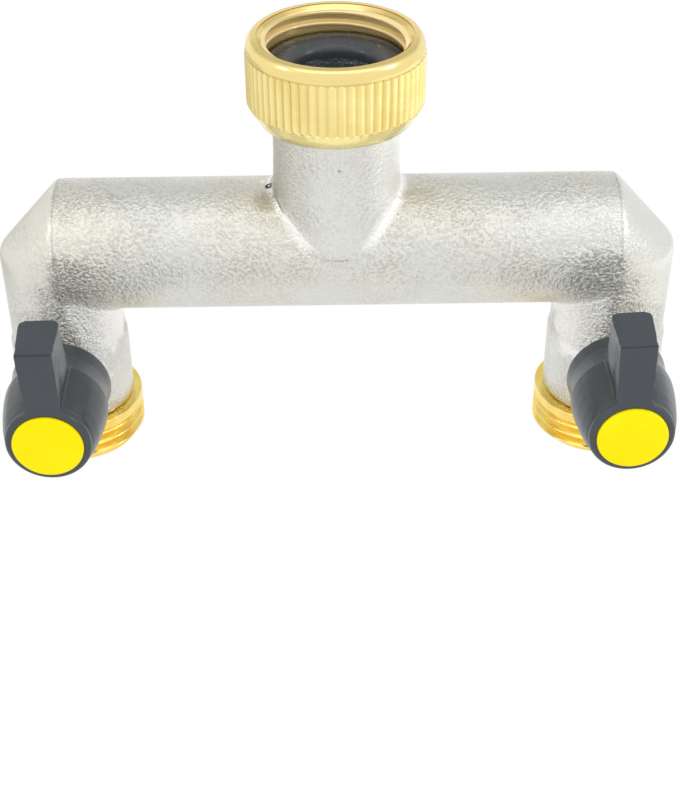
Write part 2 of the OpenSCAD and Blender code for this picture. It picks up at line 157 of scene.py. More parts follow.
def add_node(tree, kind, *sources, **settings):
    """Adds a node. The sources go to its inputs in turn, and the settings by their names."""
    made = tree.nodes.new("ShaderNode" + kind)
    for key, value in settings.items():
        if hasattr(made, key):
            setattr(made, key, value)
        else:
            give(made.inputs[key.replace("_", " ")], value)
    for socket, source in zip(made.inputs, sources):
        give(socket, source)
    return made


def through(kind, *sources, output=0, **settings):
    """What comes out of a new node that these sources go into."""
    tree = next(s.id_data for s in sources if isinstance(s, bpy.types.NodeSocket))
    return add_node(tree, kind, *sources, **settings).outputs[output]


def calculate(operation, *values):
    """One sum of these values, each a number or another node's output."""
    return through("Math", *values, operation=operation)


def product(*factors):
    """These values multiplied together."""
    total = factors[0]
    for factor in factors[1:]:
        total = calculate("MULTIPLY", total, factor)
    return total


def seen_directly_or_mirrored(tree):
    """One for rays from the camera, from a mirror and through glass, and none for the rest."""
    path = add_node(tree, "LightPath").outputs
    either = calculate("MAXIMUM", path["Is Camera Ray"], path["Is Glossy Ray"])
    return calculate("MAXIMUM", either, path["Is Transmission Ray"])


scene = bpy.context.scene
scene.view_settings.view_transform = "Standard"
scene.world = bpy.data.worlds.new("white_room")
scene.world.use_nodes = True
room = scene.world.node_tree
room.nodes.clear()
white = (1, 1, 1, 1)
tent = add_node(room, "Background", Color=white, Strength=1.0)
add_node(room, "OutputWorld", tent.outputs[0])

bpy.ops.mesh.primitive_plane_add(size=12, location=(0, 0, cad_low.z - 0.2 * MM))
paper = bpy.context.object
paper.name = "paper"
paper_white, tree = new_material("paper_white")
paper_matt = add_node(tree, "BsdfDiffuse", Color=(0.9, 0.9, 0.9, 1))
paper_glow = add_node(tree, "Emission", Color=white, Strength=1.0)
paper_share = product(seen_directly_or_mirrored(tree), 0.99)
paper_mix = through("MixShader", paper_share, paper_matt.outputs[0], paper_glow.outputs[0])
add_node(tree, "OutputMaterial", paper_mix)
paper.data.materials.append(paper_white)


def soft_box(name, place, aim, width, height, glow):
    """A rectangular soft box that faces a place, and is glow times as bright as white paper."""
    facing = (Vector(aim) - Vector(place)).to_track_quat("-Z", "Y").to_euler()
    bpy.ops.object.light_add(type="AREA", location=place, rotation=facing)
    lamp = bpy.context.object
    lamp.name = name
    lamp.data.shape = "RECTANGLE"
    lamp.data.size = width
    lamp.data.size_y = height
    lamp.data.energy = glow * pi * width * height


def card(name, place, aim, width, height, tone, turn=0.0):
    """A plain card that faces a place and that only reflections show."""
    facing = (Vector(aim) - Vector(place)).to_track_quat("Z", "Y").to_matrix()
    bpy.ops.mesh.primitive_plane_add(
        size=1, location=place, rotation=(facing @ Matrix.Rotation(turn, 3, "Z")).to_euler())
    sheet = bpy.context.object
    sheet.name = name
    sheet.scale = (width, height, 1)
    for rays in ("camera", "diffuse", "transmission", "volume_scatter", "shadow"):
        setattr(sheet, "visible_" + rays, False)
    plain, tree = new_material(name)
    glow = add_node(tree, "Emission", Color=(*tone, 1), Strength=1.0)
    add_node(tree, "OutputMaterial", glow.outputs[0])
    sheet.data.materials.append(plain)


middle = (0, 0, -0.04)
floor_z = cad_low.z
soft_box("front_box", (0, -0.36, 0.80), middle, 1.4, 0.36, 0.75)
soft_box("left_head", (-0.80, -0.22, 0.46), middle, 0.10, 0.16, 7)
soft_box("right_head", (0.80, -0.22, 0.46), middle, 0.14, 0.22, 9)
card("grey_card_behind", (0, 0.47, 0.62), middle, 2.2, 0.85, (0.74, 0.76, 0.75))
card("grey_card_left", (-0.22, 0.16, floor_z), (-0.22, 0.16, 1), 0.30, 0.22, (0.74, 0.73, 0.68),
     radians(-25))
card("white_card_right", (0.20, -0.02, floor_z), (0.20, -0.02, 1), 0.16, 0.30, (1.3, 1.3, 1.27))

# ---- Manifold casting ----------------------------------------------------------------------
# One sand-cast brass body: the cross bar, the neck and the two legs, with bevelled outer
# corners and a boss for each stem. The bores are machined, then the whole is nickel plated.
LEFT, RIGHT = -1, 1
washer_low, washer_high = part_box("inlet_washer")
ball_low, ball_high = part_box("right_ball")
neck_end_z = washer_low.z
outlet_x = (ball_low.x + ball_high.x) / 2
valve_z = (ball_low.z + ball_high.z) / 2

bar_z = neck_end_z - 35 * MM
bar_r = 12.85 * MM
bar_inset = 0.6 * MM
neck_r = 12 * MM
neck_foot_r = 12.7 * MM
neck_straight_from = 20 * MM
leg_r = 11.45 * MM
leg_top_z = bar_z - 0.25 * MM
sleeve_r = 11.9 * MM
sleeve_top_z = valve_z + 3 * MM
sleeve_end_z = valve_z - 12.2 * MM
boss_r = 6.3 * MM
boss_front = 19.5 * MM


def deselect():
    if bpy.context.object and bpy.context.object.mode != "OBJECT":
        bpy.ops.object.mode_set(mode="OBJECT")
    bpy.ops.object.select_all(action="DESELECT")


def take(piece):
    """Only this piece is selected and active."""
    deselect()
    piece.select_set(True)
    bpy.context.view_layer.objects.active = piece


def settle(piece, name):
    """Names a new piece and puts its place, turn and size into its mesh."""
    take(piece)
    piece.name = piece.data.name = name
    bpy.ops.object.transform_apply(location=True, rotation=True, scale=True)
    return piece


def rod(name, radius, start, end, sides=128, end_radius=None):
    """A round rod or cone from one place to another."""
    start, end = Vector(start), Vector(end)
    deselect()
    bpy.ops.mesh.primitive_cone_add(
        vertices=sides,
        radius1=radius,
        radius2=radius if end_radius is None else end_radius,
        depth=(end - start).length,
        location=(start + end) / 2,
        rotation=(end - start).to_track_quat("Z", "Y").to_euler(),
    )
    return settle(bpy.context.object, name)


def joined(name, *parts):
    """These pieces as one object."""
    take(parts[0])
    for part in parts[1:]:
        part.select_set(True)
    bpy.ops.object.join()
    return settle(bpy.context.object, name)


def finish_with(piece, kind, **settings):
    """Adds one modifier to a piece and applies it."""
    take(piece)
    modifier = piece.modifiers.new(kind.lower(), kind)
    for key, value in settings.items():
        setattr(modifier, key, value)
    bpy.ops.object.modifier_apply(modifier=modifier.name)


def cut(piece, cutter, operation="DIFFERENCE"):
    """Cuts one solid out of a piece, or adds it, and clears the other solid away."""
    finish_with(piece, "BOOLEAN", operation=operation, solver="EXACT", object=cutter)
    bpy.data.objects.remove(cutter)


def pick_vertices(piece, chosen):
    """In edit mode, selects the vertices that a test of their place chooses."""
    take(piece)
    bpy.ops.object.mode_set(mode="EDIT")
    bpy.ops.mesh.select_mode(type="VERT")
    bpy.ops.mesh.select_all(action="DESELECT")
    shape = bmesh.from_edit_mesh(piece.data)
    for vertex in shape.verts:
        vertex.select = chosen(vertex.co)
    shape.select_flush(True)
    bmesh.update_edit_mesh(piece.data)


def outline(name, points):
    """A line of edges through these places, extruded from one to the next and left selected."""
    deselect()
    bpy.ops.mesh.primitive_plane_add(size=MM)
    line = settle(bpy.context.object, name)
    bpy.ops.object.mode_set(mode="EDIT")
    bpy.ops.mesh.select_all(action="SELECT")
    bpy.ops.mesh.merge(type="CENTER")
    bpy.ops.transform.translate(value=points[0])
    for here, there in zip(points, points[1:]):
        step = Vector(there) - Vector(here)
        bpy.ops.mesh.extrude_vertices_move(TRANSFORM_OT_translate={"value": step})
    bpy.ops.mesh.select_all(action="SELECT")
    bpy.ops.mesh.remove_doubles(threshold=0.001 * MM)
    return line


def section(name, profile):
    """A line of edges through a profile of (radius, height) in millimetres."""
    return outline(name, [(r * MM, 0, z * MM) for r, z in profile])


def close_skin(piece):
    """Merges doubled vertices and turns every face outwards."""
    take(piece)
    bpy.ops.object.mode_set(mode="EDIT")
    bpy.ops.mesh.select_all(action="SELECT")
    bpy.ops.mesh.remove_doubles(threshold=0.001 * MM)
    bpy.ops.mesh.normals_make_consistent(inside=False)
    bpy.ops.object.mode_set(mode="OBJECT")


def turned(name, profile, steps=128, closed=True):
    """A turned solid round the Z axis, from a profile of (radius, height) in millimetres."""
    solid = section(name, profile + profile[:1] if closed else profile)
    bpy.ops.mesh.spin(steps=steps, angle=tau, center=(0, 0, 0), axis=(0, 0, 1))
    close_skin(solid)
    return solid


def moved(piece, move=(0, 0, 0), turn=None):
    """Turns a piece about the origin, then moves it."""
    take(piece)
    if turn:
        piece.rotation_euler = turn
    piece.location = move
    return settle(piece, piece.name)


FORWARD = (pi / 2, 0, 0)    # turns what is drawn up the Z axis to point along -Y


def onto_stem(piece, side):
    """Puts what is drawn up the Z axis onto one stem's axis, pointing forward."""
    return moved(piece, (side * outlet_x, 0, valve_z), FORWARD)


# The rough body, before machining: plain solids that run into each other.
bar_half = outlet_x - bar_inset
parts = [
    rod("bar", bar_r, (-bar_half, 0, bar_z), (bar_half, 0, bar_z), 160),
    rod("neck", neck_r, (0, 0, bar_z + neck_straight_from), (0, 0, neck_end_z), 160),
    rod("neck_foot", neck_foot_r, (0, 0, bar_z + 2 * MM),
        (0, 0, bar_z + neck_straight_from + 0.01 * MM), 160, end_radius=neck_r),
]
for side in (LEFT, RIGHT):
    at = side * outlet_x
    parts.append(rod("leg", leg_r, (at, 0, leg_top_z), (at, 0, sleeve_top_z - 0.3 * MM), 160))
    parts.append(rod("sleeve", sleeve_r, (at, 0, sleeve_top_z), (at, 0, sleeve_end_z), 160))
    parts.append(rod("boss", boss_r, (at, 0, valve_z), (at, -boss_front, valve_z), 96))
    corner = joined(
        "corner",
        rod("bar_end", bar_r, (side * (bar_half - 1 * MM), 0, bar_z), (side * bar_half, 0, bar_z), 96),
        rod("leg_end", leg_r, (at, 0, leg_top_z - 1 * MM), (at, 0, leg_top_z), 96),
    )
    bpy.ops.object.mode_set(mode="EDIT")
    bpy.ops.mesh.select_all(action="SELECT")
    bpy.ops.mesh.convex_hull()
    parts.append(corner)
casting = joined("casting", *parts)
finish_with(casting, "REMESH", mode="VOXEL", voxel_size=0.48 * MM)


# The sand mould's rounding: a little everywhere, more round the neck's foot, and most in
# the elbows, where the legs run into the bar.
def off_axis(co, axis_x=None, axis_z=None):
    """How far a place is from an upright axis at axis_x, or from the bar's axis at axis_z."""
    if axis_z is not None:
        return sqrt(co.y ** 2 + (co.z - axis_z) ** 2)
    return sqrt((co.x - axis_x) ** 2 + co.y ** 2)


def near_neck_joint(co):
    reach = 1.6 * MM
    return (co.z > bar_z and abs(off_axis(co, axis_z=bar_z) - bar_r) < reach
            and abs(off_axis(co, axis_x=0) - neck_foot_r) < reach)


def near_elbow(co):
    reach = 3.6 * MM
    at = outlet_x if co.x > 0 else -outlet_x
    return (abs(co.x) < outlet_x and co.z < bar_z + 3 * MM
            and abs(off_axis(co, axis_z=bar_z) - bar_r) < reach
            and abs(off_axis(co, axis_x=at) - leg_r) < reach)


def near_bevel_edge(co):
    reach = 2.2 * MM
    past_bar = abs(co.x) - bar_half
    below_top = co.z - leg_top_z
    return (co.z > bar_z - 6 * MM and abs(past_bar) < reach and off_axis(co, axis_z=bar_z) > bar_r - reach
            or abs(co.x) > bar_half and abs(below_top) < reach)


finish_with(casting, "SMOOTH", factor=0.5, iterations=5)
pick_vertices(casting, near_bevel_edge)
bpy.ops.mesh.vertices_smooth(factor=0.5, repeat=4)
pick_vertices(casting, near_neck_joint)
bpy.ops.mesh.vertices_smooth(factor=0.5, repeat=8)
pick_vertices(casting, near_elbow)
bpy.ops.mesh.vertices_smooth(factor=0.5, repeat=60)
finish_with(casting, "SMOOTH", factor=0.5, iterations=2)

# Machining: the bores, the groove for the nut's ring, and the faces that meet other pieces.
bar_bore_r, neck_bore_r = 8.5 * MM, 8
groove_r, groove_half = 11.25, 0.85
facing_r, facing_depth = 15 * MM, 3 * MM
cut(casting, rod("bar_bore", bar_bore_r, (-outlet_x, 0, bar_z), (outlet_x, 0, bar_z), 96))
neck_tool = turned("neck_tool", [(0, 0), (neck_bore_r, 0), (neck_bore_r, 36), (0, 36)], 96)
cut(casting, moved(neck_tool, (0, 0, bar_z)))
ring_low, ring_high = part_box("nut_retaining_ring")
ring_z = (ring_low.z + ring_high.z) / 2
groove_tool = turned("groove_tool", [
    (groove_r, -groove_half), (14, -groove_half), (14, groove_half), (groove_r, groove_half)], 128)
cut(casting, moved(groove_tool, (0, 0, ring_z)))
cut(casting, rod("facing_tool", facing_r, (0, 0, neck_end_z), (0, 0, neck_end_z + facing_depth)))
for side in (LEFT, RIGHT):
    at = side * outlet_x
    valve_tool = turned("valve_tool", [
        (0, -14), (9.9, -14), (9.9, -9.8), (9.6, -9.8), (9.6, -4.6), (8.3, -4.6), (8.3, 4.05),
        (8.05, 4.05), (8.05, 8.25), (5.5, 8.25), (5.5, 23.5), (0, 23.5),
    ], 96)
    cut(casting, moved(valve_tool, (at, 0, valve_z)))
    stem_tool = turned("stem_tool", [
        (0, 0), (4.8, 0), (4.8, 10.2), (3.55, 10.2), (3.55, 21), (0, 21),
    ], 64)
    cut(casting, onto_stem(stem_tool, side))
    cut(casting, rod("end_tool", facing_r, (at, 0, sleeve_end_z - facing_depth), (at, 0, sleeve_end_z)))

# The raised rib inside each knob, which stops it after a quarter turn.
def arc_block(name, radii, heights, start, sweep, steps):
    """A block of rectangular section, in millimetres, that runs part of the way round the Z axis."""
    (inner, outer), (low, high) = radii, heights
    block = section(name, [
        (inner, low), (outer, low), (outer, high), (inner, high), (inner, low)])
    bpy.ops.mesh.edge_face_add()
    bpy.ops.mesh.spin(steps=steps, angle=sweep, center=(0, 0, 0), axis=(0, 0, 1))
    close_skin(block)
    return moved(block, turn=(0, 0, start))


for side in (LEFT, RIGHT):
    rib = arc_block("rib", (6.1, 7.7), (15.1, 18.5), radians(241.5), radians(237), 48)
    cut(casting, onto_stem(rib, side), "UNION")

# Marks cut into the casting: a pit and a scratch beside the neck, and the crease where the
# neck runs out on the front of the bar.
def wire(name, places, radius, ring=False):
    """A fine round wire through these places."""
    line = outline(name, places + places[:1] if ring else places)
    bpy.ops.object.mode_set(mode="OBJECT")
    bpy.ops.object.convert(target="CURVE")
    line.data.bevel_depth = radius
    line.data.bevel_resolution = 2
    line.data.use_fill_caps = not ring
    bpy.ops.object.convert(target="MESH")
    close_skin(line)
    return line


pit_place, pit_normal = place_on(casting, POINTS["casting_pit"])
scratch_from, scratch_to, seam_place, gate_place, stain_place, speck_place, nick_place = (
    place_on(casting, POINTS[point])[0] for point in (
        "scratch_start", "scratch_end", "neck_seam", "gate_mark", "stain_right", "neck_speck",
        "bare_nick"))
skin = BVHTree.FromObject(casting, bpy.context.evaluated_depsgraph_get())


def on_skin(place):
    return skin.find_nearest(place)[0]


across = pit_normal.orthogonal().normalized()
along = pit_normal.cross(across)
pit_r, pit_steps = 0.52 * MM, 16
pit_ring = [pit_place + pit_r * (across * cos(tau * i / pit_steps) + along * sin(tau * i / pit_steps))
            for i in range(pit_steps)]
scratch_line = [on_skin(scratch_from.lerp(scratch_to, i / 6)) for i in range(7)]
seam_half, seam_sag = 2.4 * MM, 0.25 * MM
seam_line = [on_skin(seam_place + Vector((seam_half * t, 0, seam_sag * t * t)))
             for t in (-1, -0.66, -0.33, 0, 0.33, 0.66, 1)]
marks = joined("marks", wire("pit", pit_ring, 0.26 * MM, ring=True),
               wire("scratch", scratch_line, 0.19 * MM), wire("seam", seam_line, 0.15 * MM))
cut(casting, marks)


def noise(place, scale, detail=2.0, roughness=0.5):
    """A fractal noise on the piece's own coordinates."""
    return through("TexNoise", place, output="Fac", Scale=scale, Detail=detail, Roughness=roughness)


def between(value, low, high, to_low=0.0, to_high=1.0, smooth=True):
    """Maps a value from one range to another, held at both ends."""
    return through("MapRange", value, low, high, to_low, to_high, clamp=True,
                   interpolation_type="SMOOTHSTEP" if smooth else "LINEAR")


def blend_colours(share, first, second):
    """A colour between two others, each given as a colour or as another node's output."""
    made = add_node(share.id_data, "Mix", data_type="RGBA", Factor=share)
    colour_inputs = [s for s in made.inputs if s.type == "RGBA"]
    for socket, colour in zip(colour_inputs, (first, second)):
        give(socket, (*colour, 1) if isinstance(colour, tuple) else colour)
    return [s for s in made.outputs if s.type == "RGBA"][0]


def layered(tint, *layers):
    """A colour with others laid over it in turn, each in its own share."""
    for share, colour in layers:
        tint = blend_colours(share, tint, colour)
    return tint


def length_of(*parts):
    """The length of a vector made of two or three values."""
    return through("VectorMath", through("CombineXYZ", *parts), output="Value", operation="LENGTH")


def spot(place, centre, size, wobble=None):
    """One inside a blurred ellipsoid with these half-sizes in millimetres, and none outside it."""
    offset = through("VectorMath", place, centre, operation="SUBTRACT")
    shrunk = through("VectorMath", offset, Vector(size) * MM, operation="DIVIDE")
    reach = through("VectorMath", shrunk, output="Value", operation="LENGTH")
    if wobble:
        reach = calculate("ADD", reach, between(wobble, 0.3, 0.7, -0.35, 0.35))
    return between(reach, 0.75, 1.1, 1.0, 0.0)


def stroke(place, start, end, half_width):
    """One along a straight line from start to end, and none beyond half its width."""
    run = end - start
    offset = through("VectorMath", place, start, operation="SUBTRACT")
    along = through("VectorMath", offset, run / run.length_squared, output="Value",
                    operation="DOT_PRODUCT")
    nearest = add_node(place.id_data, "VectorMath", run, operation="SCALE",
                       Scale=between(along, 0, 1, smooth=False))
    aside = through("VectorMath", offset, nearest.outputs[0], output="Value", operation="DISTANCE")
    return between(aside, half_width, half_width / 2)


def raised(height, strength, distance):
    """The surface's direction where a height raises it, by up to a distance in millimetres."""
    bump = add_node(height.id_data, "Bump", Strength=strength, Distance=distance * MM, Height=height)
    return bump.outputs[0]


def surface(tree, **settings):
    """Ends a material with a surface of these settings."""
    skin = add_node(tree, "BsdfPrincipled", **settings)
    add_node(tree, "OutputMaterial", skin.outputs[0])


def dress(piece, material, angle):
    """Gives a piece its material, and smooth shading except across edges sharper than an angle."""
    piece.data.materials.clear()
    piece.data.materials.append(material)
    take(piece)
    bpy.ops.object.shade_smooth_by_angle(angle=radians(angle))


def nickel_plate():
    """Nickel on sand-cast brass: a pebbled grain, weaker on the neck, and a pearly warm grey."""
    material, tree = new_material("nickel_plate")
    place = add_node(tree, "TexCoord").outputs["Object"]
    x, y, height = add_node(tree, "SeparateXYZ", place).outputs
    sideways = calculate("ABSOLUTE", x)
    from_neck = length_of(x, y)
    from_bar = length_of(y, calculate("SUBTRACT", height, bar_z))
    cloud = noise(place, 80, 3, 0.6)
    wide_cloud = noise(place, 38, 2, 0.5)
    pebbles = noise(place, 1500, 3, 0.55)
    fine = noise(place, 4200, 2, 0.5)

    # the sand's grain, weaker on the neck, the sleeves, the bar's lower half and the bevels
    neck_part = product(between(from_bar, bar_r, bar_r + 0.5 * MM),
                        between(from_neck, neck_foot_r + 0.35 * MM, neck_foot_r + 0.1 * MM))
    on_neck = between(neck_part, 0, 1, 1.0, 0.68)
    on_sleeve = between(height, sleeve_top_z - 1 * MM, sleeve_top_z + 1 * MM, 0.45, 1.0)
    low_on_bar = product(between(from_bar, 14 * MM, 13 * MM),
                         between(height, bar_z + 3 * MM, bar_z - 5 * MM, 0.0, 0.5))
    on_bevel = product(between(height, bar_z - 4 * MM, bar_z),
                       between(sideways, bar_half - 0.8 * MM, bar_half + 0.4 * MM, 0.0, 0.65))
    depth = product(between(cloud, 0.35, 0.65, 0.45, 1.0), product(on_neck, on_sleeve),
                    calculate("SUBTRACT", 1.0, low_on_bar), calculate("SUBTRACT", 1.0, on_bevel))

    # the front of each elbow is coarse
    aside = calculate("SUBTRACT", sideways, outlet_x - 3 * MM)
    from_elbow = length_of(aside, calculate("ADD", y, 12 * MM))
    elbow = product(between(from_elbow, 11 * MM, 4 * MM),
                    between(height, bar_z + 6 * MM, bar_z + 1 * MM), on_sleeve,
                    between(sideways, bar_half + 2.5 * MM, bar_half, 0.3, 1.0))
    depth = calculate("ADD", depth, product(elbow, 0.9))
    grain = calculate("ADD", pebbles, product(fine, 0.25))
    relief = raised(product(grain, depth), 1.0, 0.55)

    # the plate's own tone in warmer and cooler clouds, with painted shade between the pebbles, and a
    # darker, browner band along the bar's underside
    tint = blend_colours(between(wide_cloud, 0.42, 0.6), (0.745, 0.745, 0.70), (0.77, 0.745, 0.665))
    painted_pebble_shade = product(between(pebbles, 0.56, 0.40, 0.0, 0.45), depth)
    under_bar = product(between(height, bar_z - 12.0 * MM, bar_z - 12.6 * MM, 0.0, 0.6),
                        between(from_bar, 13.2 * MM, 12.9 * MM))
    tint = layered(tint, (painted_pebble_shade, (0.40, 0.39, 0.36)), (under_bar, (0.58, 0.50, 0.38)))

    # each elbow is painted dark between its pebbles, as shade and a dark reflection, and each leg beside
    # it gets a painted highlight
    either_side = through("CombineXYZ", sideways, y, height)
    painted_leg_highlight = product(
        spot(either_side, (outlet_x - 8 * MM, -9 * MM, bar_z - 12 * MM), (8, 12, 12), cloud),
        between(from_bar, bar_r + 0.1 * MM, bar_r + 0.7 * MM), 0.85)
    streak = spot(either_side, (outlet_x + 0.6 * MM, -12 * MM, bar_z - 7 * MM), (2.9, 14, 10.5), cloud)
    crotch = spot(either_side, (outlet_x - 3.5 * MM, -13 * MM, bar_z - 0.5 * MM), (6.8, 14, 4.6), cloud)
    speckle = calculate("ADD", product(pebbles, 0.6), product(fine, 0.4))
    dark = product(calculate("MAXIMUM", streak, crotch), between(speckle, 0.44, 0.57, 0.8, 0.0),
                   between(sideways, bar_half + 0.8 * MM, bar_half - 0.8 * MM))
    tint = layered(tint, (painted_leg_highlight, (1.0, 0.99, 0.96)), (dark, (0.35, 0.34, 0.32)))

    # a painted line of shade runs just inside each end of the bar, above its middle, with a painted
    # highlight just past it on the bevel
    above = between(height, bar_z + 0.5 * MM, bar_z + 2.5 * MM)
    for line_x, reach, core, strength, colour in (
        (bar_half - 0.55 * MM, 0.28 * MM, 0.1 * MM, 0.4, (0.40, 0.38, 0.34)),
        (bar_half + 0.1 * MM, 0.5 * MM, 0.3 * MM, 0.12, (0.97, 0.95, 0.88)),
    ):
        from_line = calculate("ABSOLUTE", calculate("SUBTRACT", sideways, line_x))
        line = product(above, between(from_line, reach, core, 0.0, strength))
        tint = blend_colours(line, tint, colour)

    # a painted highlight runs round the neck's foot, along the fillet and just beside the neck
    painted_fillet_highlight = product(between(from_bar, bar_r + 0.02 * MM, bar_r + 0.2 * MM),
                     between(from_neck, neck_foot_r, neck_foot_r + 0.15 * MM))
    beside_neck = product(between(height, bar_z + 4 * MM, bar_z + 6 * MM),
                          between(from_neck, neck_foot_r - 0.1 * MM, neck_foot_r + 0.1 * MM), 0.65)
    painted_fillet_highlight = product(calculate("MAXIMUM", painted_fillet_highlight, beside_neck),
                     between(from_neck, 14.1 * MM, 13.1 * MM))

    # where the gate was broken off, a stain, a bare nick, painted shade round the pit, leaving its bottom
    # bright, painted shade along the scratch, darkest at its deepest place, and a speck on the neck
    scratch = product(stroke(place, scratch_from, scratch_to, 0.42 * MM),
                      between(height, scratch_to.z, scratch_from.z - 1.2 * MM, 0.15, 1.0))
    tint = layered(
        tint,
        (painted_fillet_highlight, (1.0, 0.99, 0.96)),
        (product(spot(place, gate_place, (2.3, 2.4, 2.6), fine), 0.85), (0.52, 0.475, 0.41)),
        (product(spot(place, stain_place, (3.6, 2.2, 2.2), cloud), 0.6), (0.62, 0.57, 0.49)),
        (spot(place, nick_place, (0.45, 1.0, 0.9)), (0.98, 0.92, 0.70)),
        (spot(place, pit_place, (0.88, 0.88, 0.88)), (0.11, 0.12, 0.13)),
        (spot(place, pit_place, (0.28, 0.28, 0.28)), (0.75, 0.76, 0.78)),
        (scratch, (0.12, 0.12, 0.12)),
        (spot(place, scratch_from.lerp(scratch_to, 0.22), (0.7, 1.2, 1.1)), (0.10, 0.10, 0.11)),
        (spot(place, speck_place, (0.32, 0.32, 0.32)), (0.24, 0.24, 0.22)),
    )

    # the neck is paler than the bar, with painted shade down its left and a painted highlight down its
    # right, and painted shade in the bore
    painted_neck_shade_left = product(between(x, -7.5 * MM, -12 * MM), neck_part, 0.7)
    painted_neck_highlight_right = product(between(x, 4 * MM, 9 * MM), neck_part, 0.95)
    painted_bore_shade = product(between(from_neck, 8.3 * MM, 8.1 * MM),
                      between(height, bar_z + 9 * MM, bar_z + 9.5 * MM))
    tint = layered(
        tint,
        (product(neck_part, 0.2), (0.98, 0.98, 0.92)),
        (painted_neck_shade_left, (0.55, 0.54, 0.48)),
        (painted_neck_highlight_right, (1.0, 1.0, 0.97)),
        (painted_bore_shade, (0.42, 0.45, 0.50)),
    )
    roughness = calculate("ADD", between(fine, 0.3, 0.7, 0.26, 0.38), between(neck_part, 0, 1, 0.0, 0.12))
    surface(tree, Metallic=1.0, Base_Color=tint, Roughness=roughness, Normal=relief)
    return material


dress(casting, nickel_plate(), 40)
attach(casting, "manifold")
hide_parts("manifold_casting")

# ---- Outlet nipples ------------------------------------------------------------------------
# A turned brass nipple screws into each leg, holds the lower seat in its cup and ends in the
# male hose thread. A hexagon inside takes the key that screws it in. Bare brass.
nipple_low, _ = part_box("right_outlet_nipple")
nipple_end = (nipple_low.z - valve_z) / MM
shoulder = (sleeve_end_z - valve_z) / MM
thread_pitch, thread_flank = 2.209, 0.577
male_r, male_root_r = 13.5, 12.06
male_flat = thread_pitch / 8
land_end = shoulder - 1.95    # the plain land above the thread
key_flats, key_depth = 12, 4


def helix_thread(name, root_r, crest_r, flat, start, turns, start_angle, steps=120):
    """A right-handed thread's ridge, in millimetres, going up round the Z axis, with blunt ends."""
    buried = 0.25 if crest_r > root_r else -0.25
    half_crest = flat / 2
    half_root = half_crest + abs(crest_r - root_r) * thread_flank
    ridge = section(name, [
        (root_r - buried, -half_root), (root_r, -half_root), (crest_r, -half_crest),
        (crest_r, half_crest), (root_r, half_root), (root_r - buried, half_root),
        (root_r - buried, -half_root),
    ])
    bpy.ops.object.mode_set(mode="OBJECT")
    finish_with(ridge, "SCREW", angle=tau * turns, screw_offset=thread_pitch * MM * turns,
                steps=round(steps * turns), render_steps=round(steps * turns), axis="Z")
    bpy.ops.object.mode_set(mode="EDIT")
    bpy.ops.mesh.select_all(action="SELECT")
    bpy.ops.mesh.fill_holes(sides=8)
    close_skin(ridge)
    return moved(ridge, (0, 0, start * MM), (0, 0, start_angle))


def soften(piece, width, segments=2, angle=30):
    """Rounds every edge sharper than an angle."""
    finish_with(piece, "BEVEL", width=width, segments=segments, limit_method="ANGLE",
                angle_limit=radians(angle), use_clamp_overlap=True)


def brass_skin(place, colour, metallic=1.0):
    """A satin brass surface of this colour, with the marks of a lathe tool round the Z axis."""
    stretched = through("Mapping", place, vector_type="POINT", Scale=(40, 40, 2600))
    marks = noise(stretched, 1, 2, 0.6)
    surface(place.id_data, Metallic=metallic, Base_Color=colour,
            Roughness=between(marks, 0.3, 0.7, 0.16, 0.25), Normal=raised(marks, 0.2, 0.012))


def bare_brass(name, light, dark):
    """Turned brass, a little stained."""
    material, tree = new_material(name)
    place = add_node(tree, "TexCoord").outputs["Object"]
    cloud = noise(place, 140, 3, 0.6)
    brass_skin(place, blend_colours(between(cloud, 0.38, 0.62), light, dark))
    return material


nipple = turned("right_nipple", [
    (8.05, -4.9), (9.55, -4.9), (9.55, -9.8), (8.35, -9.8), (8.35, -11.5), (9.85, -11.5),
    (9.85, shoulder), (male_r - 0.1, shoulder), (male_r, shoulder - 0.1), (male_r, land_end),
    (male_root_r, land_end - (male_r - male_root_r) * thread_flank),
    (male_root_r, nipple_end + 0.45), (11.6, nipple_end), (9.5, nipple_end),
    (9.2, nipple_end + 0.3), (9.2, -14.25), (5.5, -14.25), (5.5, -8.25), (8.05, -8.25),
], 120)
first_crest, last_crest = nipple_end + 1.05, land_end - 0.3
thread = helix_thread("outlet_thread", male_root_r, male_r - 0.02, male_flat, first_crest,
                      (last_crest - first_crest) / thread_pitch, radians(80))
soften(thread, 0.16 * MM)
cut(nipple, thread, "UNION")
deselect()
bpy.ops.mesh.primitive_cylinder_add(
    vertices=6, radius=key_flats * MM / 2 / cos(pi / 6), depth=key_depth * MM,
    location=(0, 0, -12.25 * MM))
cut(nipple, settle(bpy.context.object, "key_tool"))
nipple_brass = bare_brass("outlet_brass", (1.0, 0.78, 0.24), (0.95, 0.68, 0.17))


def copied(piece, name):
    """A copy of a piece with a mesh of its own."""
    copy = piece.copy()
    copy.data = piece.data.copy()
    bpy.context.collection.objects.link(copy)
    copy.name = copy.data.name = name
    return copy


left_nipple = moved(copied(nipple, "left_nipple"), (-outlet_x, 0, valve_z))
moved(nipple, (outlet_x, 0, valve_z))
for nipple_piece, side_name in ((nipple, "right"), (left_nipple, "left")):
    dress(nipple_piece, nipple_brass, 35)
    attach(nipple_piece, "manifold")
    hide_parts(side_name + "_outlet_nipple")

# ---- Swivel nut ----------------------------------------------------------------------------
# The inlet nut is turned from brass bar, knurled for the fingers and threaded inside. It is
# slipped over the neck and held by a wire ring, so it turns freely.
nut_low, nut_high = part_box("swivel_nut")
nut_top, nut_bottom = nut_high.z / MM, nut_low.z / MM
knurl_r, knurl_groove_r = 16.62 * MM, 16.3 * MM
knurl_ribs, rib_steps = 60, 8
knurl_top, knurl_bottom = -1.1, -10.8
female_root_r, female_crest_r = 13.62, 12.75
female_flat = thread_pitch / 6

